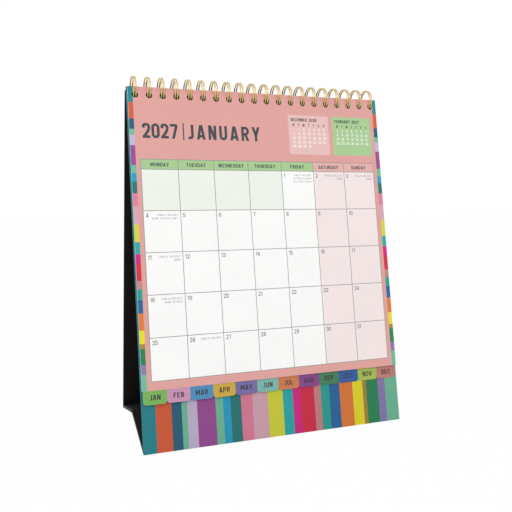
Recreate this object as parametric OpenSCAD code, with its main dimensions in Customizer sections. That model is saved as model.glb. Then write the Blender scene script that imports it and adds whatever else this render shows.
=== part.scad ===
// Desk calendar: a folding card easel with twelve tabbed month leaves on a twin-loop wire.
// X runs to the right, Y to the back, Z up, in millimetres, with the origin under the middle of the easel.

/* [Easel] */
// Width of the easel boards
board_w = 170.6; // [120:0.1:260]
// Length of each leaning board, from the table to the ridge
panel_len = 218; // [170:1:260]
// Thickness of the easel boards
board_t = 1.8; // [1.4:0.1:2]
// Distance from the front foot to the back foot
base_depth = 86.6; // [84.5:0.1:90]
// Half the distance between the boards' outer faces at the top
ridge_half = 2.8; // [2.7:0.05:3.2]
// Distance of the back board's top edge below the front board's
back_drop = 1.6; // [0.5:0.1:3]
// Thickness of the striped print on the front board
print_t = 0.15; // [0.1:0.05:0.2]
// Thickness of the creased floor card
floor_t = 2; // [0.6:0.1:2.4]
// Height of the crease in the middle of the floor card
crease_rise = 12.5; // [6:0.1:16]
// Height of the floor card's glued edges above the table
floor_lift = 0.3; // [0.1:0.1:2]
// Gap between the floor card and the back board
fold_gap = 0.1; // [0.05:0.05:0.5]

/* [Binding] */
// Number of loops in the wire
loop_count = 20; // [12:1:24]
// Spacing of the loops, three to the inch
loop_pitch = 8.4667; // [7:0.0001:9]
// Radius of a loop, at the middle of the wire
ring_r = 7.45; // [7.2:0.05:9]
// Diameter of the wire
wire_d = 0.9; // [0.6:0.1:1]
// Distance between the middles of the two wires of a loop
twin_gap = 1.4; // [1.4:0.1:1.8]
// Inner bend of the wire between a loop and the back of the comb
bend_r = 0.7; // [0.6:0.1:1]
// Swelling of the wire where it is bent, over its diameter
bend_swell = 0.15; // [0.1:0.05:0.3]
// Place of the comb's back round the loop, in degrees from the lowest point towards the front
spine_angle = 25; // [23:1:26]
// Opening between the closed tips and the comb's back, in degrees
tip_angle = 24; // [22:1:30]
// Distance of the ring axis behind the middle of the ridge
ring_back = 1; // [0.6:0.1:1.2]
// Distance of the ring axis below the top of the boards
ring_drop = 0.8; // [0.4:0.1:1.2]

/* [Leaves] */
// Thickness of one month leaf
leaf_t = 0.13; // [0.08:0.01:0.13]
// Spacing of the leaves in the stack
leaf_pitch = 0.15; // [0.14:0.01:0.16]
// Gap between the striped print and the last leaf
leaf_gap = 0.14; // [0.12:0.01:0.2]
// Distance of the leaves' top edge below the top of the front board
leaf_drop = 0.4; // [0:0.1:2]
// Distance of the leaves' sides from the sides of the board
leaf_inset = 0.6; // [0:0.1:2]
// Height of a leaf from its top edge to its lower edge, without the tab
leaf_h = 181.4; // [140:0.1:186]
// Height of an index tab below the leaf
tab_h = 8; // [5:0.1:12]
// Distance of the first and last tab from the sides of the leaf
tab_inset = 0.25; // [0:0.05:4]
// Gap between neighbouring tabs, seen from the front
tab_space = 0; // [0:0.1:2]
// Radius of a tab's lower corners
tab_r = 2; // [0.5:0.1:3]
// Least room round the twin wires in the holes of the leaves and the print
hole_room = 0.05; // [0.05:0.05:0.5]
// Diameter of the punched holes in the two boards
board_hole_d = 4.4; // [4.2:0.1:5.5]

/* [Hidden] */
$fn = 48;
MONTHS = ["jan", "feb", "mar", "apr", "may", "jun", "jul", "aug", "sep", "oct", "nov", "dec"];

// The boards lean so that their outer faces come ridge_half from the middle at the top.
lean = asin((base_depth / 2 - ridge_half) / panel_len);
top_z = panel_len * cos(lean);
slack = 5;

// The ring axis, seen from the side, and its distance from each outer face.
axis_y = ring_back;
axis_z = top_z - ring_drop;
function depth_in(side_y) = (base_depth / 2 + side_y) * cos(lean) - axis_z * sin(lean);
function foot_up(side_y) = (base_depth / 2 + side_y) * sin(lean) + axis_z * cos(lean);
front_depth = depth_in(axis_y);
front_foot = foot_up(axis_y);
back_depth = depth_in(-axis_y);
back_foot = foot_up(-axis_y);

// How far below the axis a loop passes through a sheet that lies at a distance from the axis.
function loop_fall(distance) = sqrt(ring_r * ring_r - distance * distance);
leaf_count = len(MONTHS);
stack_t = leaf_count * leaf_pitch;
stack_near = front_depth + print_t + leaf_gap;
front_hole_up = front_foot - loop_fall(front_depth - board_t / 2);
back_hole_up = back_foot - loop_fall(back_depth - board_t / 2);

// The holes of the leaves and the print hold the whole slanting run of the wires through the stack.
function run_up(radius, distance) = front_foot - sqrt(radius * radius - distance * distance);
run_low = run_up(ring_r + wire_d / 2, front_depth);
run_high = run_up(ring_r - wire_d / 2, stack_near + stack_t);
leaf_hole_up = (run_low + run_high) / 2;
leaf_hole_d = 2 * (norm([twin_gap + wire_d, run_high - run_low]) / 2 + hole_room);
echo(leaf_hole_d = leaf_hole_d);

leaf_top = panel_len - leaf_drop;
leaf_low = leaf_top - leaf_h;
leaf_w = board_w - 2 * leaf_inset;
tab_step = (leaf_w - 2 * tab_inset) / leaf_count;
function loop_x(i) = (i - (loop_count - 1) / 2) * loop_pitch;

// Least gap between the wire's own runs: between twins, and between a tip and the comb's back.
tip_run = ring_r * tip_angle * PI / 180;
tip_to_spine = tip_run - bend_r - twin_gap / 2 - wire_d;
echo(least_wire_gap = min(twin_gap - wire_d, tip_to_spine));

BOARD_BLACK = [0.11, 0.11, 0.11];
FLOOR_BLACK = [0.15, 0.15, 0.15];
STRIPE_TEAL = [0.18, 0.49, 0.53];
WIRE_GOLD = [0.83, 0.69, 0.35];
PAGE_PINK = [0.89, 0.65, 0.62];
TAB_COLOURS = [[0.47, 0.65, 0.36], [0.80, 0.58, 0.71], [0.29, 0.55, 0.73], [0.80, 0.66, 0.25],
    [0.45, 0.41, 0.63], [0.48, 0.71, 0.67], [0.78, 0.47, 0.29], [0.51, 0.25, 0.53],
    [0.24, 0.48, 0.35], [0.18, 0.35, 0.61], [0.64, 0.73, 0.31], [0.74, 0.47, 0.45]];

// The frame of the front board's outer face: x across, y up the board, z outwards.
module on_front() {
    translate([0, -base_depth / 2, 0]) rotate([90 - lean, 0, 0]) children();
}

module on_back() {
    mirror([0, 1, 0]) on_front() children();
}

module hole_row(up, d, from_z, deep) {
    for (i = [0 : loop_count - 1])
        translate([loop_x(i), up, from_z]) cylinder(d = d, h = deep);
}

// A leaning board, cut level at the table and at the top.
module leaning_board() {
    translate([-board_w / 2, -slack, -board_t]) cube([board_w, panel_len + 2 * slack, board_t]);
}

module level_slab(high) {
    translate([-board_w, -base_depth, 0]) cube([2 * board_w, 2 * base_depth, high]);
}

module front_board() {
    color(BOARD_BLACK) difference() {
        intersection() {
            on_front() leaning_board();
            level_slab(top_z);
        }
        on_front() hole_row(front_hole_up, board_hole_d, -2 * board_t, 3 * board_t);
    }
}

module back_board() {
    color(BOARD_BLACK) difference() {
        intersection() {
            on_back() leaning_board();
            level_slab(top_z - back_drop);
        }
        on_back() hole_row(back_hole_up, board_hole_d, -2 * board_t, 3 * board_t);
    }
}

module front_print() {
    color(STRIPE_TEAL) on_front() difference() {
        translate([-board_w / 2, 0, 0]) cube([board_w, leaf_top, print_t]);
        hole_row(leaf_hole_up, leaf_hole_d, -print_t, 3 * print_t);
    }
}

// The floor card rises from both feet to a crease in the middle.
function inner_y(z) = base_depth / 2 - board_t / cos(lean) - z * tan(lean);

module floor_card() {
    low = floor_lift;
    high = floor_lift + floor_t;
    color(FLOOR_BLACK) rotate([90, 0, 90]) linear_extrude(board_w, center = true) polygon([
        [-inner_y(low), low], [0, crease_rise - floor_t], [inner_y(low) - fold_gap, low],
        [inner_y(high) - fold_gap, high], [0, crease_rise], [-inner_y(high), high]]);
}

// At an angle round the ring axis: x outwards, y along the loop, z to the right.
module round_ring(angle) {
    translate([0, axis_y, axis_z]) rotate([0, 90, 0]) rotate([0, 0, angle]) children();
}

module wire_bend(radius, sweep) {
    rotate([0, 90, 0]) rotate_extrude(angle = sweep) translate([radius, 0]) circle(d = wire_d);
}

// Two round runs joined by a hairpin at the closed tip.
module twin_loop() {
    tip_at = tip_angle - spine_angle;
    for (side = [-1, 1])
        translate([side * twin_gap / 2, 0, 0]) round_ring(tip_at)
            rotate_extrude(angle = 360 - tip_angle) translate([ring_r, 0]) circle(d = wire_d);
    round_ring(tip_at) translate([ring_r, 0, 0]) rotate([180, 0, 0]) wire_bend(twin_gap / 2, 180);
}

// A quarter bend out of a loop, slightly swollen where it starts.
module swollen_bend() {
    wire_bend(bend_r, 90);
    translate([0, 0, -bend_r]) sphere(d = wire_d + bend_swell);
}

// One step of the comb's back, from the right wire of a loop to the left wire of the next.
module spine_step() {
    run = loop_pitch - twin_gap - 2 * bend_r;
    round_ring(-spine_angle) translate([ring_r, 0, 0]) {
        translate([0, 0, twin_gap / 2 + bend_r]) swollen_bend();
        translate([0, bend_r, twin_gap / 2 + bend_r]) cylinder(d = wire_d, h = run);
        translate([0, 0, loop_pitch - twin_gap / 2 - bend_r]) mirror([0, 0, 1]) swollen_bend();
    }
}

module binding_wire() {
    color(WIRE_GOLD) {
        for (i = [0 : loop_count - 1]) translate([loop_x(i), 0, 0]) twin_loop();
        for (i = [0 : loop_count - 2]) translate([loop_x(i), 0, 0]) spine_step();
    }
}

// A tab hangs from the leaf's lower edge, with two round lower corners.
module tab_shape(i) {
    left = -leaf_w / 2 + tab_inset + i * tab_step + tab_space / 2;
    w = tab_step - tab_space;
    translate([left, leaf_low - tab_h + tab_r]) square([w, tab_h - tab_r]);
    translate([left + tab_r, leaf_low - tab_h]) square([w - 2 * tab_r, tab_h]);
    for (x = [left + tab_r, left + w - tab_r])
        translate([x, leaf_low - tab_h + tab_r]) circle(r = tab_r);
}

// Leaf number i from the front of the stack, with its own tab.
module month_leaf(i) {
    lift = print_t + leaf_gap + (leaf_count - 1 - i) * leaf_pitch;
    color(i == 0 ? PAGE_PINK : TAB_COLOURS[i]) on_front() difference() {
        translate([0, 0, lift]) linear_extrude(leaf_t) union() {
            translate([-leaf_w / 2, leaf_low]) square([leaf_w, leaf_h]);
            tab_shape(i);
        }
        hole_row(leaf_hole_up, leaf_hole_d, lift - leaf_t, 3 * leaf_t);
    }
}

front_board();
front_print();
back_board();
floor_card();
binding_wire();
for (i = [0 : leaf_count - 1])
    month_leaf(i);
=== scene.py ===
import calendar
import math

import bpy
from mathutils import Matrix, Vector


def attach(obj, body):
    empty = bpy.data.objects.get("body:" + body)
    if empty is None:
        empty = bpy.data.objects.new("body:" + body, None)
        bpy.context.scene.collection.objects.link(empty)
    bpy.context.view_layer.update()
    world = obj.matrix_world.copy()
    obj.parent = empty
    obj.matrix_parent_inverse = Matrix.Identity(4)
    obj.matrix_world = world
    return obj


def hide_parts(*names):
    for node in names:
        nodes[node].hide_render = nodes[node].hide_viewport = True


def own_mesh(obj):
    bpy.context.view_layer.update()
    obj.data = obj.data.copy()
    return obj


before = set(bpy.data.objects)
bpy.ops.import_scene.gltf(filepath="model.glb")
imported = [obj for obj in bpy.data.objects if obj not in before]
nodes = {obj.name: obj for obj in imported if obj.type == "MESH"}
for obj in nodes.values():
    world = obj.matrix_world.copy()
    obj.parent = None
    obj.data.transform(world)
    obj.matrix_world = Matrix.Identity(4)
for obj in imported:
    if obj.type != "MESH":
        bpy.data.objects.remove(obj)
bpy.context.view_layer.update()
bpy.ops.object.select_all(action="DESELECT")

# sizes of the easel in mm, as the solids have them
mm = 0.001
easel = {"width": 170.6, "baseDepth": 86.6, "panelLen": 218.0, "boardThick": 1.8, "ridgeHalf": 2.8,
         "floorThick": 2.0, "floorLift": 0.3, "creaseRise": 12.5, "foldGap": 0.1}
halfBase = easel["baseDepth"] / 2
lean = math.asin((halfBase - easel["ridgeHalf"]) / easel["panelLen"])
months = ["jan", "feb", "mar", "apr", "may", "jun", "jul", "aug", "sep", "oct", "nov", "dec"]
daysInWeek = 7

# mm on the front board's outer face (across, up, outwards) to metres in the room
boardFace = Matrix(((mm, 0, 0, 0),
                    (0, mm * math.sin(lean), -mm * math.cos(lean), -mm * halfBase),
                    (0, mm * math.cos(lean), mm * math.sin(lean), 0),
                    (0, 0, 0, 1)))


def ink(red, green, blue):
    # screen colour 0 to 255 as a linear colour
    parts = [c / 255 for c in (red, green, blue)]
    return [c / 12.92 if c <= 0.04045 else ((c + 0.055) / 1.055) ** 2.4 for c in parts] + [1.0]


def paler(colour, share):
    return tuple(c + (255 - c) * share for c in colour)


def darker(colour, share):
    return tuple(c * (1 - share) for c in colour)


def richer(colour, share, least=24):
    # pulls the weaker parts of a colour down
    strongest = max(colour)
    return tuple(max(least, strongest - (strongest - c) * (1 + share)) for c in colour)


# small helpers for material nodes
mixSockets = {"factor": 0, "below": 6, "over": 7, "result": 2}


def newMaterial(name):
    mat = bpy.data.materials.new(name)
    mat.use_nodes = True
    return mat, mat.node_tree, mat.node_tree.nodes["Principled BSDF"]


def dress(piece, mat):
    piece.data.materials.clear()
    piece.data.materials.append(mat)


def feed(tree, socket, value):
    # a plain value is set, and a node's output is linked
    if isinstance(value, (int, float, list, tuple)):
        socket.default_value = value
    else:
        tree.links.new(value, socket)


def calc(tree, operation, first, second=None):
    node = tree.nodes.new("ShaderNodeMath")
    node.operation = operation
    feed(tree, node.inputs[0], first)
    if second is not None:
        feed(tree, node.inputs[1], second)
    return node.outputs[0]


def both(tree, first, second):
    return calc(tree, "MULTIPLY", first, second)


def either(tree, first, second):
    return calc(tree, "MAXIMUM", first, second)


def between(tree, value, low, high):
    return both(tree, calc(tree, "GREATER_THAN", value, low), calc(tree, "LESS_THAN", value, high))


def inkOver(tree, below, mask, colour, blendType="MIX"):
    node = tree.nodes.new("ShaderNodeMix")
    node.data_type = "RGBA"
    node.blend_type = blendType
    for name, value in (("factor", mask), ("below", below), ("over", colour)):
        feed(tree, node.inputs[mixSockets[name]], value)
    return node.outputs[mixSockets["result"]]


def placeOn(tree, turned=True):
    # place in mm: on the front board's face when turned, else in the room
    coords = tree.nodes.new("ShaderNodeTexCoord")
    mapping = tree.nodes.new("ShaderNodeMapping")
    mapping.vector_type = "TEXTURE"
    mapping.inputs["Scale"].default_value = (mm, mm, mm)
    if turned:
        mapping.inputs["Location"].default_value = (0, -mm * halfBase, 0)
        mapping.inputs["Rotation"].default_value = (math.pi / 2 - lean, 0, 0)
    tree.links.new(coords.outputs["Object"], mapping.inputs["Vector"])
    split = tree.nodes.new("ShaderNodeSeparateXYZ")
    tree.links.new(mapping.outputs["Vector"], split.inputs["Vector"])
    return mapping.outputs["Vector"], split.outputs[0], split.outputs[1], split.outputs[2]


def noiseAt(tree, vector, scale, detail, stretch=None):
    noise = tree.nodes.new("ShaderNodeTexNoise")
    noise.inputs["Scale"].default_value = scale
    noise.inputs["Detail"].default_value = detail
    if stretch:
        mapping = tree.nodes.new("ShaderNodeMapping")
        mapping.inputs["Scale"].default_value = stretch
        tree.links.new(vector, mapping.inputs["Vector"])
        vector = mapping.outputs["Vector"]
    tree.links.new(vector, noise.inputs["Vector"])
    return noise.outputs["Fac"]


def spread(tree, value, low, high, fromLow=0.3, fromHigh=0.7):
    node = tree.nodes.new("ShaderNodeMapRange")
    tree.links.new(value, node.inputs["Value"])
    for name, number in (("From Min", fromLow), ("From Max", fromHigh), ("To Min", low), ("To Max", high)):
        node.inputs[name].default_value = number
    return node.outputs["Result"]


def greyOf(tree, value):
    node = tree.nodes.new("ShaderNodeCombineColor")
    for socket in node.inputs[:3]:
        tree.links.new(value, socket)
    return node.outputs[0]


def finishSurface(tree, shader, colour, fibre, look):
    # colour, uneven gloss and a soft tooth that follows the fibre
    tree.links.new(colour, shader.inputs["Base Color"])
    tree.links.new(spread(tree, fibre, *look["rough"]), shader.inputs["Roughness"])
    shader.inputs["Specular IOR Level"].default_value = look["shine"]
    bump = tree.nodes.new("ShaderNodeBump")
    bump.inputs["Strength"].default_value = look["tooth"]
    bump.inputs["Distance"].default_value = look["toothMm"] * mm
    tree.links.new(fibre, bump.inputs["Height"])
    tree.links.new(bump.outputs["Normal"], shader.inputs["Normal"])


# paper, with a fibre mottle under the print
paperFinish = {"fibreScale": 1.6, "fibreDetail": 4.0, "fibreStretch": (1.0, 0.45, 1.0), "fibreShade": 0.965,
               "cloudScale": 0.035, "cloudDetail": 2.0, "cloudShade": 0.975,
               "rough": (0.50, 0.62), "shine": 0.35, "tooth": 0.12, "toothMm": 0.02}


def finishPaper(tree, shader, place, colour, rough=paperFinish["rough"]):
    look = {**paperFinish, "rough": rough}
    fibre = noiseAt(tree, place, look["fibreScale"], look["fibreDetail"], look["fibreStretch"])
    cloud = noiseAt(tree, place, look["cloudScale"], look["cloudDetail"])
    for pattern, shade in ((fibre, look["fibreShade"]), (cloud, look["cloudShade"])):
        colour = inkOver(tree, colour, 1.0, greyOf(tree, spread(tree, pattern, shade, 1.0)), "MULTIPLY")
    finishSurface(tree, shader, colour, fibre, look)


# stripes, shared by the leaves' sides and the front board; widths are in shares of their sum
stripes = {
    "inks": {"teal": (39, 140, 150), "orange": (225, 115, 80), "navy": (33, 100, 124), "mint": (127, 195, 166),
             "lilac": (208, 195, 222), "purple": (158, 88, 153), "cyan": (35, 170, 205), "pine": (32, 120, 120),
             "pink": (232, 146, 172), "blush": (222, 182, 195), "lime": (222, 222, 84),
             "turquoise": (50, 178, 177), "magenta": (220, 35, 150), "red": (222, 65, 95),
             "rose": (209, 147, 150), "jade": (52, 165, 155), "blue": (33, 113, 163), "amber": (233, 143, 82),
             "yellow": (243, 232, 66), "olive": (172, 144, 74), "green": (33, 135, 93),
             "lavender": (150, 135, 185)},
    "order": [("teal", 9.8), ("orange", 10.2), ("navy", 6.2), ("mint", 3.4), ("lilac", 6.8), ("purple", 12.0),
              ("mint", 5.0), ("cyan", 5.1), ("pine", 7.0), ("pink", 7.5), ("blush", 10.6), ("lime", 10.8),
              ("turquoise", 7.7), ("magenta", 5.3), ("red", 9.9), ("rose", 5.4), ("jade", 6.0), ("blue", 7.9),
              ("amber", 10.2), ("yellow", 7.6), ("olive", 3.2), ("green", 9.2), ("lavender", 5.5),
              ("mint", 10.6)],
}


def stripeRamp(tree, along, run):
    # along is in mm; the stripes start at the run's from and cover its length, which may be negative
    ramp = tree.nodes.new("ShaderNodeValToRGB")
    ramp.color_ramp.interpolation = "CONSTANT"
    ramp.color_ramp.elements.remove(ramp.color_ramp.elements[1])
    total = sum(width for _, width in stripes["order"])
    at = 0.0
    for index, (name, width) in enumerate(stripes["order"]):
        spots = ramp.color_ramp.elements
        spot = spots[0] if index == 0 else spots.new(at / total)
        # each ink is darkened by the run's painted shade, then made richer
        spot.color = ink(*richer(darker(stripes["inks"][name], run["paintedShade"]), run["enrich"]))
        at += width
    share = calc(tree, "DIVIDE", calc(tree, "SUBTRACT", along, run["from"]), run["length"])
    tree.links.new(share, ramp.inputs["Fac"])
    return ramp.outputs["Color"]


# the printed leaves; places in mm on the board's face
leafPrint = {
    "year": 2027, "leastRows": 5, "saturday": 5,
    "sheetLow": 36.2, "firstLift": 0.29, "leafPitch": 0.15, "leafThick": 0.13, "inkDepth": 0.02,
    # on the leaves' sides the stripes get a slight painted shade against the sheen
    "stripeFrom": 81.8, "stripeRun": {"from": 217.7, "length": -181.9, "paintedShade": 0.03, "enrich": 0.15},
    "gridHalf": 78.95, "gridTop": 173.1, "headLow": 167.0, "gridLow": 41.4, "line": 0.42,
    "boxTop": 204.5, "boxLow": 178.25, "boxLeft": (18.25, 50.1), "boxWide": 29.05,
    "yearBar": {"at": -51.9, "low": 185.3, "top": 196.1, "wide": 0.75},
    "pale": {"head": 0.36, "weekendHead": 0.16, "blank": 0.89, "weekend": 0.76,
             "lastMonth": 0.33, "nextMonth": 0.37},
    "paper": (254, 254, 253), "lettering": (60, 70, 75), "gridGrey": (150, 150, 150),
    "tab": {"jan": (121, 178, 88), "feb": (203, 147, 180), "mar": (75, 140, 185), "apr": (203, 168, 65),
            "may": (115, 105, 160), "jun": (122, 180, 172), "jul": (198, 120, 75), "aug": (130, 65, 135),
            "sep": (62, 122, 88), "oct": (45, 90, 155), "nov": (163, 185, 80), "dec": (188, 120, 115)},
    "field": {"jan": (226, 165, 159), "feb": (168, 204, 214), "mar": (236, 204, 138), "apr": (176, 190, 220),
              "may": (178, 210, 170), "jun": (238, 186, 150), "jul": (150, 200, 205), "aug": (232, 208, 130),
              "sep": (224, 176, 196), "oct": (240, 190, 140), "nov": (190, 170, 205), "dec": (150, 195, 175)},
}


def leafFront(index):
    leavesBehind = len(months) - 1 - index
    return leafPrint["firstLift"] + leavesBehind * leafPrint["leafPitch"] + leafPrint["leafThick"]


def monthGrid(index):
    # the weeks of a month, and the width and height of one date cell
    weeks = calendar.monthcalendar(leafPrint["year"], index + 1)
    rows = max(leafPrint["leastRows"], len(weeks))
    return weeks, 2 * leafPrint["gridHalf"] / daysInWeek, (leafPrint["headLow"] - leafPrint["gridLow"]) / rows


def leafMaterial(index):
    p, pale = leafPrint, leafPrint["pale"]
    month = months[index]
    tab, field = p["tab"][month], p["field"][month]
    mat, tree, shader = newMaterial("leafPaper_" + month)
    place, x, h, n = placeOn(tree)
    side = calc(tree, "ABSOLUTE", x)
    weeks, columnWide, rowHigh = monthGrid(index)
    first = weeks[0].index(1)
    last = first + calendar.monthrange(p["year"], index + 1)[1]

    # cells are counted from the top left; whole numbers are told apart at the halves between them
    across = calc(tree, "DIVIDE", calc(tree, "ADD", x, p["gridHalf"]), columnWide)
    down = calc(tree, "DIVIDE", calc(tree, "SUBTRACT", p["headLow"], h), rowHigh)
    column = calc(tree, "FLOOR", across)
    cell = calc(tree, "ADD", calc(tree, "MULTIPLY", calc(tree, "FLOOR", down), daysInWeek), column)
    weekend = calc(tree, "GREATER_THAN", column, p["saturday"] - 0.5)
    tooEarly = calc(tree, "LESS_THAN", cell, first - 0.5)
    blank = either(tree, tooEarly, calc(tree, "GREATER_THAN", cell, last - 0.5))
    inGrid = calc(tree, "LESS_THAN", side, p["gridHalf"])
    inHead = both(tree, inGrid, between(tree, h, p["headLow"], p["gridTop"]))
    inCells = both(tree, inGrid, between(tree, h, p["gridLow"], p["headLow"]))

    inStripes = calc(tree, "GREATER_THAN", side, p["stripeFrom"])
    colour = inkOver(tree, ink(*field), inStripes, stripeRamp(tree, h, p["stripeRun"]))
    weekendHead = ink(*paler(field, pale["weekendHead"]))
    headInk = inkOver(tree, ink(*paler(tab, pale["head"])), weekend, weekendHead)
    colour = inkOver(tree, colour, inHead, headInk)
    cellInk = inkOver(tree, ink(*p["paper"]), blank, ink(*paler(tab, pale["blank"])))
    cellInk = inkOver(tree, cellInk, weekend, ink(*paler(field, pale["weekend"])))
    colour = inkOver(tree, colour, inCells, cellInk)

    # grid lines: the nearest column and row line, and the frame of the heading
    half = p["line"] / 2
    toColumn = calc(tree, "MULTIPLY", calc(tree, "PINGPONG", across, 0.5), columnWide)
    toRow = calc(tree, "MULTIPLY", calc(tree, "PINGPONG", down, 0.5), rowHigh)
    nearColumn = calc(tree, "LESS_THAN", toColumn, half)
    nearRow = both(tree, calc(tree, "LESS_THAN", toRow, half), calc(tree, "LESS_THAN", h, p["headLow"] + half))
    nearTop = between(tree, h, p["gridTop"] - half, p["gridTop"] + half)
    lines = either(tree, nearColumn, either(tree, nearRow, nearTop))
    inFrame = both(tree, calc(tree, "LESS_THAN", side, p["gridHalf"] + half),
                   between(tree, h, p["gridLow"] - half, p["gridTop"] + half))
    colour = inkOver(tree, colour, both(tree, lines, inFrame), ink(*p["gridGrey"]))

    # the two small month boxes, the bar beside the year and the tab
    boxInks = (paler(field, pale["lastMonth"]), paler(tab, pale["nextMonth"]))
    for left, boxInk in zip(p["boxLeft"], boxInks):
        inBox = both(tree, between(tree, x, left, left + p["boxWide"]),
                     between(tree, h, p["boxLow"], p["boxTop"]))
        colour = inkOver(tree, colour, inBox, ink(*boxInk))
    bar = p["yearBar"]
    inBar = both(tree, between(tree, x, bar["at"] - bar["wide"] / 2, bar["at"] + bar["wide"] / 2),
                 between(tree, h, bar["low"], bar["top"]))
    colour = inkOver(tree, colour, inBar, ink(*p["lettering"]))
    colour = inkOver(tree, colour, calc(tree, "LESS_THAN", h, p["sheetLow"]), ink(*tab))

    # the print is on the front only; the back is bare paper, and so are most of the cut edges
    front = calc(tree, "GREATER_THAN", n, leafFront(index) - p["inkDepth"])
    colour = inkOver(tree, ink(*p["paper"]), front, colour)
    finishPaper(tree, shader, place, colour)
    return mat


for index, month in enumerate(months):
    dress(nodes["page_" + month], leafMaterial(index))
print("leaves printed:", len(months))

# lettering: narrow upright letters drawn with an even pen, raised by less than the air between two leaves
lettering = {
    "thick": 0.008, "clear": 0.002, "layer": 0.0008, "space": 0.35,
    "cornerPull": 0.55, "sameSpot": 0.0001, "leastTurn": 0.5,
    "sideShare": {"left": 0, "centre": 0.5, "right": 1},
    "styles": {
        "year": {"cap": 9.2, "pen": 0.18, "wide": 0.36, "gap": 0.07, "smooth": 5},
        "month": {"cap": 9.2, "pen": 0.18, "wide": 0.375, "gap": 0.214, "smooth": 5},
        "weekday": {"cap": 2.3, "pen": 0.19, "wide": 0.46, "gap": 0.14, "smooth": 3, "side": "centre"},
        "date": {"cap": 2.6, "pen": 0.14, "wide": 0.44, "gap": 0.10, "smooth": 3},
        "note": {"cap": 1.15, "pen": 0.14, "wide": 0.50, "gap": 0.26, "smooth": 2, "side": "right"},
        "boxTitle": {"cap": 2.1, "pen": 0.20, "wide": 0.37, "gap": 0.14, "smooth": 3},
        "boxDay": {"cap": 1.7, "pen": 0.17, "wide": 0.43, "gap": 0.15, "smooth": 2, "side": "centre"},
        "tab": {"cap": 3.1, "pen": 0.185, "wide": 0.45, "gap": 0.14, "smooth": 3, "side": "centre"},
    },
    "inks": {"slate": leafPrint["lettering"], "grey": (104, 108, 110), "faint": (138, 140, 142),
             "pale": (255, 252, 250), "tab": (46, 45, 47)},
    "weekdays": ["MONDAY", "TUESDAY", "WEDNESDAY", "THURSDAY", "FRIDAY", "SATURDAY", "SUNDAY"],
    "yearAt": (-77.2, 186.1), "monthAt": (-49.3, 186.1), "weekdayUp": 168.75,
    "dateIn": 1.5, "dateDown": 4.15,
    "noteIn": 1.6, "noteDown": 3.25, "noteStep": 2.08,
    "januaryNotes": {1: ["PUBLIC HOLIDAY", "OFFICES CLOSED", "ALL DAY TODAY"],
                     2: ["PUBLIC HOLIDAY", "SOME"], 3: ["PUBLIC HOLIDAY", "SOME"],
                     4: ["PUBLIC HOLIDAY", "SOME OFFICES ONLY"], 11: ["PUBLIC HOLIDAY", "SOME"],
                     18: ["PUBLIC HOLIDAY", "SOME OFFICES"], 26: ["PUBLIC HOLIDAY"]},
    "boxTitleIn": 2.1, "boxTitleUp": 22.1, "boxColumnIn": 3.75, "boxColumnStep": 3.64,
    "boxInitialUp": 18.7, "boxRowUp": 15.9, "boxRowStep": 2.83,
    "tabFrom": -84.45, "tabStep": 14.075, "tabUp": 30.75,
}
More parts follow.
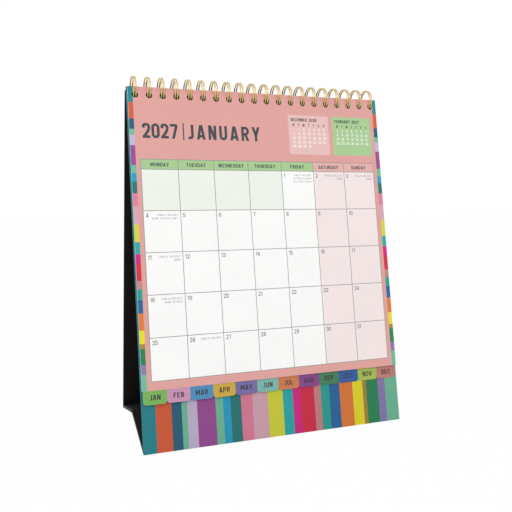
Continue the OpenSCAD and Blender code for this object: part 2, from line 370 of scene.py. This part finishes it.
# pen strokes of each letter in a box of 1 by 1; foot and head are the lines that stems are cut off at
foot, head = -9, 9
stem, rightStem = [(0, foot), (0, head)], [(1, foot), (1, head)]
topBar, middleBar, footBar = [(0, 1), (1, 1)], [(0, 0.5), (0.88, 0.5)], [(0, 0), (1, 0)]
oval = [(0, 0), (1, 0), (1, 1), (0, 1), (0, 0)]
penStrokes = {
    "A": [[(0, foot), (0.45, head)], [(0.55, head), (1, foot)], [(0.15, 0.17), (0.85, 0.17)]],
    "B": [stem, [(0, 1), (0.95, 1), (0.95, 0.53), (0, 0.53)], [(0, 0.5), (1, 0.5), (1, 0), (0, 0)]],
    "C": [[(1, 0.7), (1, 1), (0, 1), (0, 0), (1, 0), (1, 0.3)]],
    "D": [stem, [(0, 1), (1, 1), (1, 0), (0, 0)]],
    "E": [stem, middleBar, topBar, footBar],
    "F": [stem, middleBar, topBar],
    "G": [[(1, 0.7), (1, 1), (0, 1), (0, 0), (1, 0), (1, 0.52)], [(1.2, 0.46), (0.55, 0.46)]],
    "H": [stem, rightStem, [(0, 0.5), (1, 0.5)]],
    "I": [stem],
    "J": [[(-0.2, 0), (1, 0), (1, head)]],
    "L": [stem, footBar],
    "M": [stem, rightStem, [(0.07, head), (0.5, 0.2)], [(0.93, head), (0.5, 0.2)]],
    "N": [stem, rightStem, [(0.07, head), (0.93, foot)]],
    "O": [oval],
    "P": [stem, [(0, 1), (1, 1), (1, 0.42), (0, 0.42)]],
    "R": [stem, [(0, 1), (1, 1), (1, 0.46), (0, 0.46)], [(0.5, 0.46), (1, foot)]],
    "S": [[(1, 0.73), (1, 1), (0, 1), (0, 0.53), (1, 0.47), (1, 0), (0, 0), (0, 0.27)]],
    "T": [[(0.5, foot), (0.5, head)], [(-0.1, 1), (1.1, 1)]],
    "U": [[(0, head), (0, 0), (1, 0), (1, head)]],
    "V": [[(0, head), (0.46, foot)], [(1, head), (0.54, foot)]],
    "W": [[(0, head), (0.24, foot)], [(0.28, foot), (0.48, head)],
          [(0.52, head), (0.72, foot)], [(0.76, foot), (1, head)]],
    "Y": [[(0, head), (0.5, 0.36)], [(1, head), (0.5, 0.36)], [(0.5, 0.42), (0.5, foot)]],
    "0": [oval],
    "1": [[(0.8, foot), (0.8, head)], [(0.8, 0.96), (-0.1, 0.74)]],
    "2": [[(0, 0.72), (0, 1), (1, 1), (1, 0.58), (0.06, 0.0)], [(-0.2, 0), (1.2, 0)]],
    "3": [[(0, 0.75), (0, 1), (1, 1), (1, 0.53), (0.35, 0.53)],
          [(0.35, 0.5), (1, 0.5), (1, 0), (0, 0), (0, 0.25)]],
    "4": [[(0.75, foot), (0.75, head)], [(0.66, 1), (0, 0.3)], [(-0.15, 0.25), (1.2, 0.25)]],
    "5": [[(0, 1), (1.1, 1)], [(0.02, head), (0.02, 0.5)], [(0, 0.57), (1, 0.57), (1, 0), (0, 0), (0, 0.24)]],
    "6": [[(0, 0), (1, 0), (1, 0.56), (0, 0.56), (0, 0)], [(1, 0.76), (1, 1), (0, 1), (0, 0.25)]],
    "7": [[(-0.2, 1), (1.1, 1)], [(1.05, 1), (0.35, foot)]],
    "8": [[(0, 0), (1, 0), (1, 0.52), (0, 0.52), (0, 0)],
          [(0.05, 0.5), (0.95, 0.5), (0.95, 1), (0.05, 1), (0.05, 0.5)]],
    "9": [[(0, 0.44), (1, 0.44), (1, 1), (0, 1), (0, 0.44)], [(1, 0.75), (1, 0), (0, 0), (0, 0.24)]],
}
letterWidths = {"I": 0.0, "J": 0.62, "M": 1.4, "W": 1.7, "1": 0.5, "A": 1.12, "Y": 1.08, "V": 1.08,
                "E": 0.85, "F": 0.85, "L": 0.85, "S": 0.95, "P": 0.95, "B": 0.95, "G": 1.1, "O": 1.05}


def letterMaterial(name):
    mat, tree, shader = newMaterial(name + "Lettering")
    finishPaper(tree, shader, placeOn(tree)[0], ink(*lettering["inks"][name]))
    return mat


letterMats = {name: letterMaterial(name) for name in lettering["inks"]}


def roundedPath(points, radius, steps):
    # rounds every inner corner; a path that ends where it starts is a ring
    same, pull = lettering["sameSpot"], lettering["cornerPull"]
    ring = points[0] == points[-1]
    spots = [Vector(spot) for spot in (points[:-1] if ring else points)]
    path = []
    for i, spot in enumerate(spots):
        if not ring and i in (0, len(spots) - 1):
            path.append(spot)
            continue
        before, after = spots[i - 1] - spot, spots[(i + 1) % len(spots)] - spot
        reach = min(radius, before.length / 2, after.length / 2)
        first, last = spot + before.normalized() * reach, spot + after.normalized() * reach
        pullA, pullB = first.lerp(spot, pull), last.lerp(spot, pull)
        for k in range(steps + 1):
            t = k / steps
            path.append(first * (1 - t) ** 3 + pullA * 3 * t * (1 - t) ** 2
                        + pullB * 3 * t * t * (1 - t) + last * t ** 3)
    path = [spot for i, spot in enumerate(path) if i == 0 or (spot - path[i - 1]).length > same]
    if ring and (path[0] - path[-1]).length < same:
        path.pop()
    return path, ring


def penSides(path, ring, pen, flatEnds):
    # left and right edge of a stroke; an end at the foot or head line is cut level
    sides = []
    for i, spot in enumerate(path):
        onward = (path[(i + 1) % len(path)] - spot).normalized() if ring or i < len(path) - 1 else None
        inward = (spot - path[i - 1]).normalized() if ring or i > 0 else None
        way = ((onward or inward) + (inward or onward)).normalized()
        left = Vector((-way.y, way.x))
        if (onward is None or inward is None) and flatEnds[0 if inward is None else 1]:
            left = Vector((math.copysign(1, left.x), 0)) / abs(way.y)
        elif onward and inward:
            left = left / max(lettering["leastTurn"], way.dot(onward))
        sides.append((spot + left * pen / 2, spot - left * pen / 2))
    return sides


def addStroke(sheet, sides, ring, low, high, inkIndex):
    base = len(sheet["spots"])
    count = len(sides)
    for left, right in sides:
        sheet["spots"] += [(left.x, left.y, low), (right.x, right.y, low),
                           (right.x, right.y, high), (left.x, left.y, high)]
    faces = []
    for i in range(count if ring else count - 1):
        a, b = base + 4 * i, base + 4 * ((i + 1) % count)
        faces += [(a + 2, b + 2, b + 3, a + 3), (a, b, b + 1, a + 1),
                  (a + 1, b + 1, b + 2, a + 2), (b, a, a + 3, b + 3)]
    if not ring:
        last = base + 4 * (count - 1)
        faces += [(base, base + 1, base + 2, base + 3), (last + 1, last, last + 3, last + 2)]
    sheet["faces"] += faces
    sheet["inks"] += [inkIndex] * len(faces)


def setWord(sheet, word, styleName, x, h, lift, inkName):
    style = lettering["styles"][styleName]
    cap, gap = style["cap"], style["gap"] * style["cap"]
    pen, wide = style["pen"] * cap, style["wide"] * cap
    widths = [lettering["space"] * cap if c == " " else wide * letterWidths.get(c, 1.0) + pen for c in word]
    x -= (sum(widths) + gap * (len(word) - 1)) * lettering["sideShare"][style.get("side", "left")]
    low = lift + lettering["clear"]
    cutAt = {foot: 0, head: cap}
    for c, width in zip(word, widths):
        for level, stroke in enumerate(penStrokes.get(c, [])):
            spots = [(x + pen / 2 + u * (width - pen), h + cutAt.get(v, pen / 2 + v * (cap - pen)))
                     for u, v in stroke]
            path, ring = roundedPath(spots, wide / 2, style["smooth"])
            sides = penSides(path, ring, pen, [stroke[end][1] in cutAt for end in (0, -1)])
            addStroke(sheet, sides, ring, low, low + lettering["thick"] + level * lettering["layer"],
                      list(lettering["inks"]).index(inkName))
        x += width + gap


def smallMonth(sheet, index, left, lift):
    # a month in small, in one of the two boxes; it may belong to the year before or after
    t, boxLow = lettering, leafPrint["boxLow"]
    year, number = leafPrint["year"] + index // len(months), index % len(months) + 1
    title = f"{calendar.month_name[number].upper()} {year}"
    setWord(sheet, title, "boxTitle", left + t["boxTitleIn"], boxLow + t["boxTitleUp"], lift, "slate")
    for day, name in enumerate(t["weekdays"]):
        x = left + t["boxColumnIn"] + day * t["boxColumnStep"]
        setWord(sheet, name[0], "boxDay", x, boxLow + t["boxInitialUp"], lift, "slate")
        for row, week in enumerate(calendar.monthcalendar(year, number)):
            if week[day]:
                rowUp = boxLow + t["boxRowUp"] - row * t["boxRowStep"]
                setWord(sheet, str(week[day]), "boxDay", x, rowUp, lift, "pale")


def monthLettering(index):
    t, p = lettering, leafPrint
    lift = leafFront(index)
    sheet = {"spots": [], "faces": [], "inks": []}
    setWord(sheet, str(p["year"]), "year", *t["yearAt"], lift, "slate")
    setWord(sheet, calendar.month_name[index + 1].upper(), "month", *t["monthAt"], lift, "slate")
    weeks, columnWide, rowHigh = monthGrid(index)
    for day, name in enumerate(t["weekdays"]):
        left = -p["gridHalf"] + day * columnWide
        setWord(sheet, name, "weekday", left + columnWide / 2, t["weekdayUp"], lift, "slate")
        for row, week in enumerate(weeks):
            if not week[day]:
                continue
            cellTop = p["headLow"] - row * rowHigh
            setWord(sheet, str(week[day]), "date", left + t["dateIn"], cellTop - t["dateDown"], lift, "grey")
            for line, note in enumerate(t["januaryNotes"].get(week[day], []) if index == 0 else []):
                setWord(sheet, note, "note", left + columnWide - t["noteIn"],
                        cellTop - t["noteDown"] - line * t["noteStep"], lift, "faint")
    smallMonth(sheet, index - 1, p["boxLeft"][0], lift)
    smallMonth(sheet, index + 1, p["boxLeft"][1], lift)
    tabMiddle = t["tabFrom"] + (index + 0.5) * t["tabStep"]
    setWord(sheet, months[index].upper(), "tab", tabMiddle, t["tabUp"], lift, "tab")
    mesh = bpy.data.meshes.new("lettering_" + months[index])
    mesh.from_pydata([boardFace @ Vector(spot) for spot in sheet["spots"]], [], sheet["faces"])
    for mat in letterMats.values():
        mesh.materials.append(mat)
    mesh.polygons.foreach_set("material_index", sheet["inks"])
    piece = bpy.data.objects.new("lettering_" + months[index], mesh)
    bpy.context.collection.objects.link(piece)
    return piece


for index, month in enumerate(months):
    piece = monthLettering(index)
    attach(piece, "leaf_" + month)
print("lettering set on", len(months), "leaves, the last with", len(piece.data.polygons), "faces")

# striped print on the front board; its stripes are darkened by painted shade
boardPrint = {"from": -86.6, "length": 172.1, "paintedShade": 0.11, "enrich": 0.19, "rough": (0.46, 0.58)}
printMat, printTree, printShader = newMaterial("stripedBoardPrintAndShade")
printPlace, printX = placeOn(printTree)[:2]
printInk = stripeRamp(printTree, printX, boardPrint)
finishPaper(printTree, printShader, printPlace, printInk, boardPrint["rough"])
dress(nodes["front_print"], printMat)

# black card: boards and floor; the floor's copy is painted paler on its face and cut edges, as painted light
blackCard = {"face": (17, 10, 9), "edge": (42, 41, 40), "edgeFrom": 85.27, "rubbed": (0.55, 1.0),
             "floorPaintedLight": 0.02, "floorEdgeAndLight": (52, 51, 50),
             "fibreScale": 1.1, "fibreDetail": 5.0, "fibreMix": 0.5, "fibreDarker": 0.35,
             "cloudScale": 0.05, "cloudDetail": 2.0, "cloudMix": 0.3, "cloudPaler": 0.05,
             "rough": (0.58, 0.74), "shine": 0.18, "tooth": 0.22, "toothMm": 0.05}


def cardMaterial(name, face, edge, wrapped=False):
    # a wrapped board shows the print turned round its cut edges
    look = blackCard
    mat, tree, shader = newMaterial(name)
    place, x = placeOn(tree, False)[:2]
    fibre = noiseAt(tree, place, look["fibreScale"], look["fibreDetail"])
    cloud = noiseAt(tree, place, look["cloudScale"], look["cloudDetail"])
    fibreInk, cloudInk = ink(*darker(face, look["fibreDarker"])), ink(*paler(face, look["cloudPaler"]))
    colour = inkOver(tree, ink(*face), spread(tree, fibre, 0.0, look["fibreMix"]), fibreInk)
    colour = inkOver(tree, colour, spread(tree, cloud, 0.0, look["cloudMix"]), cloudInk)
    atEdge = calc(tree, "GREATER_THAN", calc(tree, "ABSOLUTE", x), look["edgeFrom"])
    # wrapped edges take the board's stripes with their painted shade
    edgeInk = stripeRamp(tree, x, boardPrint) if wrapped else ink(*edge)
    colour = inkOver(tree, colour, both(tree, atEdge, spread(tree, fibre, *look["rubbed"])), edgeInk)
    finishSurface(tree, shader, colour, fibre, look)
    return mat


cardMat = cardMaterial("blackCard", blackCard["face"], blackCard["edge"])
wrappedMat = cardMaterial("wrappedCard", blackCard["face"], blackCard["edge"], True)
# the floor card is the same card painted paler than the boards, and its cut edges paler still, as painted light
# from above and the left
paintedLitFloorFace = paler(blackCard["face"], blackCard["floorPaintedLight"])
paintedLitFloorMat = cardMaterial("blackFloorCardPaintedLight", paintedLitFloorFace, blackCard["floorEdgeAndLight"])
for name, mat in (("front_board", wrappedMat), ("back_board", cardMat), ("floor_card", paintedLitFloorMat)):
    dress(nodes[name], mat)
print("print and card finished")

# the floor card, creased in the middle; sizes in mm, tolerances in metres
creasedFloor = {"crease": 1.2, "segments": 4, "smoothAngle": 25, "onCrease": 0.0001, "longEdge": 0.01}


def innerY(z):
    return halfBase - easel["boardThick"] / math.cos(lean) - z * math.tan(lean)


low, high = easel["floorLift"], easel["floorLift"] + easel["floorThick"]
bpy.ops.object.select_all(action="DESELECT")
bpy.ops.mesh.primitive_cube_add(size=1)
floorPiece = bpy.context.object
floorPiece.name = "creased_floor"
for v in floorPiece.data.vertices:
    z = high if v.co.z > 0 else low
    y = -innerY(z) if v.co.y < 0 else innerY(z) - easel["foldGap"]
    v.co = (mm * math.copysign(easel["width"] / 2, v.co.x), mm * y, mm * z)
bpy.ops.object.mode_set(mode="EDIT")
bpy.ops.mesh.select_all(action="SELECT")
bpy.ops.mesh.bisect(plane_co=(0, 0, 0), plane_no=(0, 1, 0))
bpy.ops.object.mode_set(mode="OBJECT")
for v in floorPiece.data.vertices:
    if abs(v.co.y) < creasedFloor["onCrease"]:
        v.co.z += mm * (easel["creaseRise"] - high)
# only the two long edges of the crease are rounded
for e in floorPiece.data.edges:
    ends = [floorPiece.data.vertices[i].co for i in e.vertices]
    alongCrease = all(abs(c.y) < creasedFloor["onCrease"] for c in ends)
    e.select = alongCrease and abs(ends[0].x - ends[1].x) > creasedFloor["longEdge"]
for f in floorPiece.data.polygons:
    f.select = False
bpy.ops.object.mode_set(mode="EDIT")
bpy.ops.mesh.select_mode(type="EDGE")
bpy.ops.mesh.bevel(offset=mm * creasedFloor["crease"], segments=creasedFloor["segments"], affect="EDGES")
bpy.ops.object.mode_set(mode="OBJECT")
floorPiece.data.materials.append(paintedLitFloorMat)
bpy.ops.object.shade_smooth_by_angle(angle=math.radians(creasedFloor["smoothAngle"]))
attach(floorPiece, "front_easel")
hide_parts("floor_card")
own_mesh(floorPiece)
print("floor creased")

# gold wire: one pitch of the comb is bent from a single point, then copied along and thickened
goldWire = {"colour": (221, 193, 130), "rough": (0.22, 0.33), "metal": 0.68,
            "drawnScale": 0.9, "drawnDetail": 3.0, "drawnMix": 0.35, "drawnDarker": 0.18,
            "ringR": 7.45, "wireD": 0.9, "ringBack": 1.0, "ringDrop": 0.8,
            "twinGap": 1.4, "bendR": 0.7, "pitch": 8.4667, "loops": 20, "spineAt": -25, "tipAt": -1,
            "loopSteps": 60, "tipSteps": 10, "bendSteps": 5, "sectionSteps": 3, "smoothAngle": 50,
            "joinWithin": 0.00002}
ringY, ringZ = goldWire["ringBack"], easel["panelLen"] * math.cos(lean) - goldWire["ringDrop"]
wireMat, wireTree, wireShader = newMaterial("goldWire")
wirePlace = placeOn(wireTree, False)[0]
wireDrawn = noiseAt(wireTree, wirePlace, goldWire["drawnScale"], goldWire["drawnDetail"])
wireInk = inkOver(wireTree, ink(*goldWire["colour"]), spread(wireTree, wireDrawn, 0.0, goldWire["drawnMix"]),
                  ink(*darker(goldWire["colour"], goldWire["drawnDarker"])))
wireTree.links.new(wireInk, wireShader.inputs["Base Color"])
wireTree.links.new(spread(wireTree, wireDrawn, *goldWire["rough"]), wireShader.inputs["Roughness"])
wireShader.inputs["Metallic"].default_value = goldWire["metal"]


def outFrom(angle):
    # the way out of the ring axis: angle from the lowest point towards the back
    turn = math.radians(angle)
    return Vector((0, math.sin(turn), -math.cos(turn)))


def ringSpot(angle, x):
    # a place on the loop, in metres
    turn = math.radians(angle)
    y = ringY + goldWire["ringR"] * math.sin(turn)
    z = ringZ - goldWire["ringR"] * math.cos(turn)
    return Vector((mm * x, mm * y, mm * z))


def bendWire(degrees, steps, centre, axis):
    # spin turns left-handed about its axis
    bpy.ops.mesh.spin(steps=steps, angle=-math.radians(degrees), center=centre, axis=axis)


def wirePitch(x):
    w = goldWire
    half, bend, spine, tip = w["twinGap"] / 2, w["bendR"], w["spineAt"], w["tipAt"]
    aroundLoop = 360 + spine - tip
    straight = w["pitch"] - w["twinGap"] - 2 * bend
    ringMiddle = Vector((0, mm * ringY, mm * ringZ))
    bpy.ops.object.select_all(action="DESELECT")
    bpy.ops.mesh.primitive_plane_add(size=mm)
    bpy.ops.object.mode_set(mode="EDIT")
    bpy.ops.mesh.select_mode(type="VERT")
    bpy.ops.mesh.select_all(action="SELECT")
    bpy.ops.mesh.merge(type="CENTER")
    bpy.ops.transform.translate(value=ringSpot(spine, x - half))
    bendWire(-aroundLoop, w["loopSteps"], ringMiddle, (1, 0, 0))
    bendWire(-180, w["tipSteps"], ringSpot(tip, x), outFrom(tip))
    bendWire(aroundLoop, w["loopSteps"], ringMiddle, (1, 0, 0))
    bendWire(90, w["bendSteps"], ringSpot(spine, x + half + bend), outFrom(spine))
    bpy.ops.mesh.extrude_region_move(TRANSFORM_OT_translate={"value": (mm * straight, 0, 0)})
    bendWire(90, w["bendSteps"], ringSpot(spine, x + w["pitch"] - half - bend), outFrom(spine))
    bpy.ops.object.mode_set(mode="OBJECT")
    return bpy.context.object


firstLoop = -0.5 * (goldWire["loops"] - 1) * goldWire["pitch"]
wirePiece = wirePitch(firstLoop)
wirePiece.name = "gold_wire"
copies = wirePiece.modifiers.new("alongRidge", "ARRAY")
copies.count = goldWire["loops"]
copies.use_relative_offset = False
copies.use_constant_offset = True
copies.constant_offset_displace = (mm * goldWire["pitch"], 0, 0)
copies.use_merge_vertices = True
copies.merge_threshold = goldWire["joinWithin"]
bpy.ops.object.modifier_apply(modifier=copies.name)
# the last loop has no step after it
lastWire = mm * (goldWire["twinGap"] / 2 - firstLoop) + goldWire["joinWithin"]
for v in wirePiece.data.vertices:
    v.select = v.co.x > lastWire
bpy.ops.object.mode_set(mode="EDIT")
bpy.ops.mesh.select_mode(type="VERT")
bpy.ops.mesh.delete(type="VERT")
bpy.ops.object.mode_set(mode="OBJECT")
bpy.ops.object.convert(target="CURVE")
wirePiece = bpy.context.object
wirePiece.data.bevel_depth = mm * goldWire["wireD"] / 2
wirePiece.data.bevel_resolution = goldWire["sectionSteps"]
wirePiece.data.use_fill_caps = True
bpy.ops.object.convert(target="MESH")
wirePiece = bpy.context.object
dress(wirePiece, wireMat)
bpy.ops.object.shade_smooth_by_angle(angle=math.radians(goldWire["smoothAngle"]))
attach(wirePiece, "front_easel")
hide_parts("binding_wire")
dress(nodes["binding_wire"], wireMat)
print("wire bent:", len(wirePiece.data.polygons), "faces")

# floor, light and camera; places in metres, angles in degrees
studio = {"tableSize": 8.0, "tableGrey": (0.88, 0.88, 0.88, 1), "tableRough": 0.8, "tableGlow": 0.98,
          "worldLight": 0.56, "lampsLookAt": (0, 0, 0.1),
          "lamps": {"key": {"at": (-0.55, -1.05, 1.05), "size": 0.9, "watts": 8.2},
                    "fill": {"at": (1.0, -0.7, 0.7), "size": 1.0, "watts": 2.6}},
          "camera": {"at": (-0.1404, -0.3871, 0.1494), "tilt": 84.31, "pan": -19.81,
                     "lens": 43.41, "sensor": 36, "near": 0.01}}


def seenDirectly(tree):
    # what the camera sees, also in a shiny piece or through a clear one
    rays = tree.nodes.new("ShaderNodeLightPath").outputs
    return either(tree, rays["Is Camera Ray"], either(tree, rays["Is Glossy Ray"], rays["Is Transmission Ray"]))


bpy.ops.mesh.primitive_plane_add(size=studio["tableSize"])
tableTop = bpy.context.object
tableTop.name = "table_top"
tableMat, tableTree, tableShader = newMaterial("paleTable")
tableShader.inputs["Base Color"].default_value = studio["tableGrey"]
tableShader.inputs["Roughness"].default_value = studio["tableRough"]
glow = tableTree.nodes.new("ShaderNodeEmission")
mixed = tableTree.nodes.new("ShaderNodeMixShader")
tableTree.links.new(both(tableTree, seenDirectly(tableTree), studio["tableGlow"]), mixed.inputs["Fac"])
tableTree.links.new(tableShader.outputs[0], mixed.inputs[1])
tableTree.links.new(glow.outputs[0], mixed.inputs[2])
tableTree.links.new(mixed.outputs[0], tableTree.nodes["Material Output"].inputs["Surface"])
tableTop.data.materials.append(tableMat)

world = bpy.data.worlds.new("softRoom")
bpy.context.scene.world = world
world.use_nodes = True
worldTree = world.node_tree
backdrop = worldTree.nodes["Background"]
backdrop.inputs["Color"].default_value = (1, 1, 1, 1)
worldStrength = spread(worldTree, seenDirectly(worldTree), studio["worldLight"], 1.0, 0.0, 1.0)
worldTree.links.new(worldStrength, backdrop.inputs["Strength"])

for name, lamp in studio["lamps"].items():
    bpy.ops.object.light_add(type="AREA", location=lamp["at"])
    light = bpy.context.object
    light.name = name
    light.data.size = lamp["size"]
    light.data.energy = lamp["watts"]
    aim = Vector(studio["lampsLookAt"]) - Vector(lamp["at"])
    light.rotation_euler = aim.to_track_quat("-Z", "Y").to_euler()

view = studio["camera"]
cameraTurn = (math.radians(view["tilt"]), 0, math.radians(view["pan"]))
bpy.ops.object.camera_add(location=view["at"], rotation=cameraTurn)
camera = bpy.context.object
camera.data.lens = view["lens"]
camera.data.sensor_width = view["sensor"]
camera.data.clip_start = view["near"]
bpy.context.scene.camera = camera
bpy.context.scene.view_settings.view_transform = "Standard"
print("studio set")
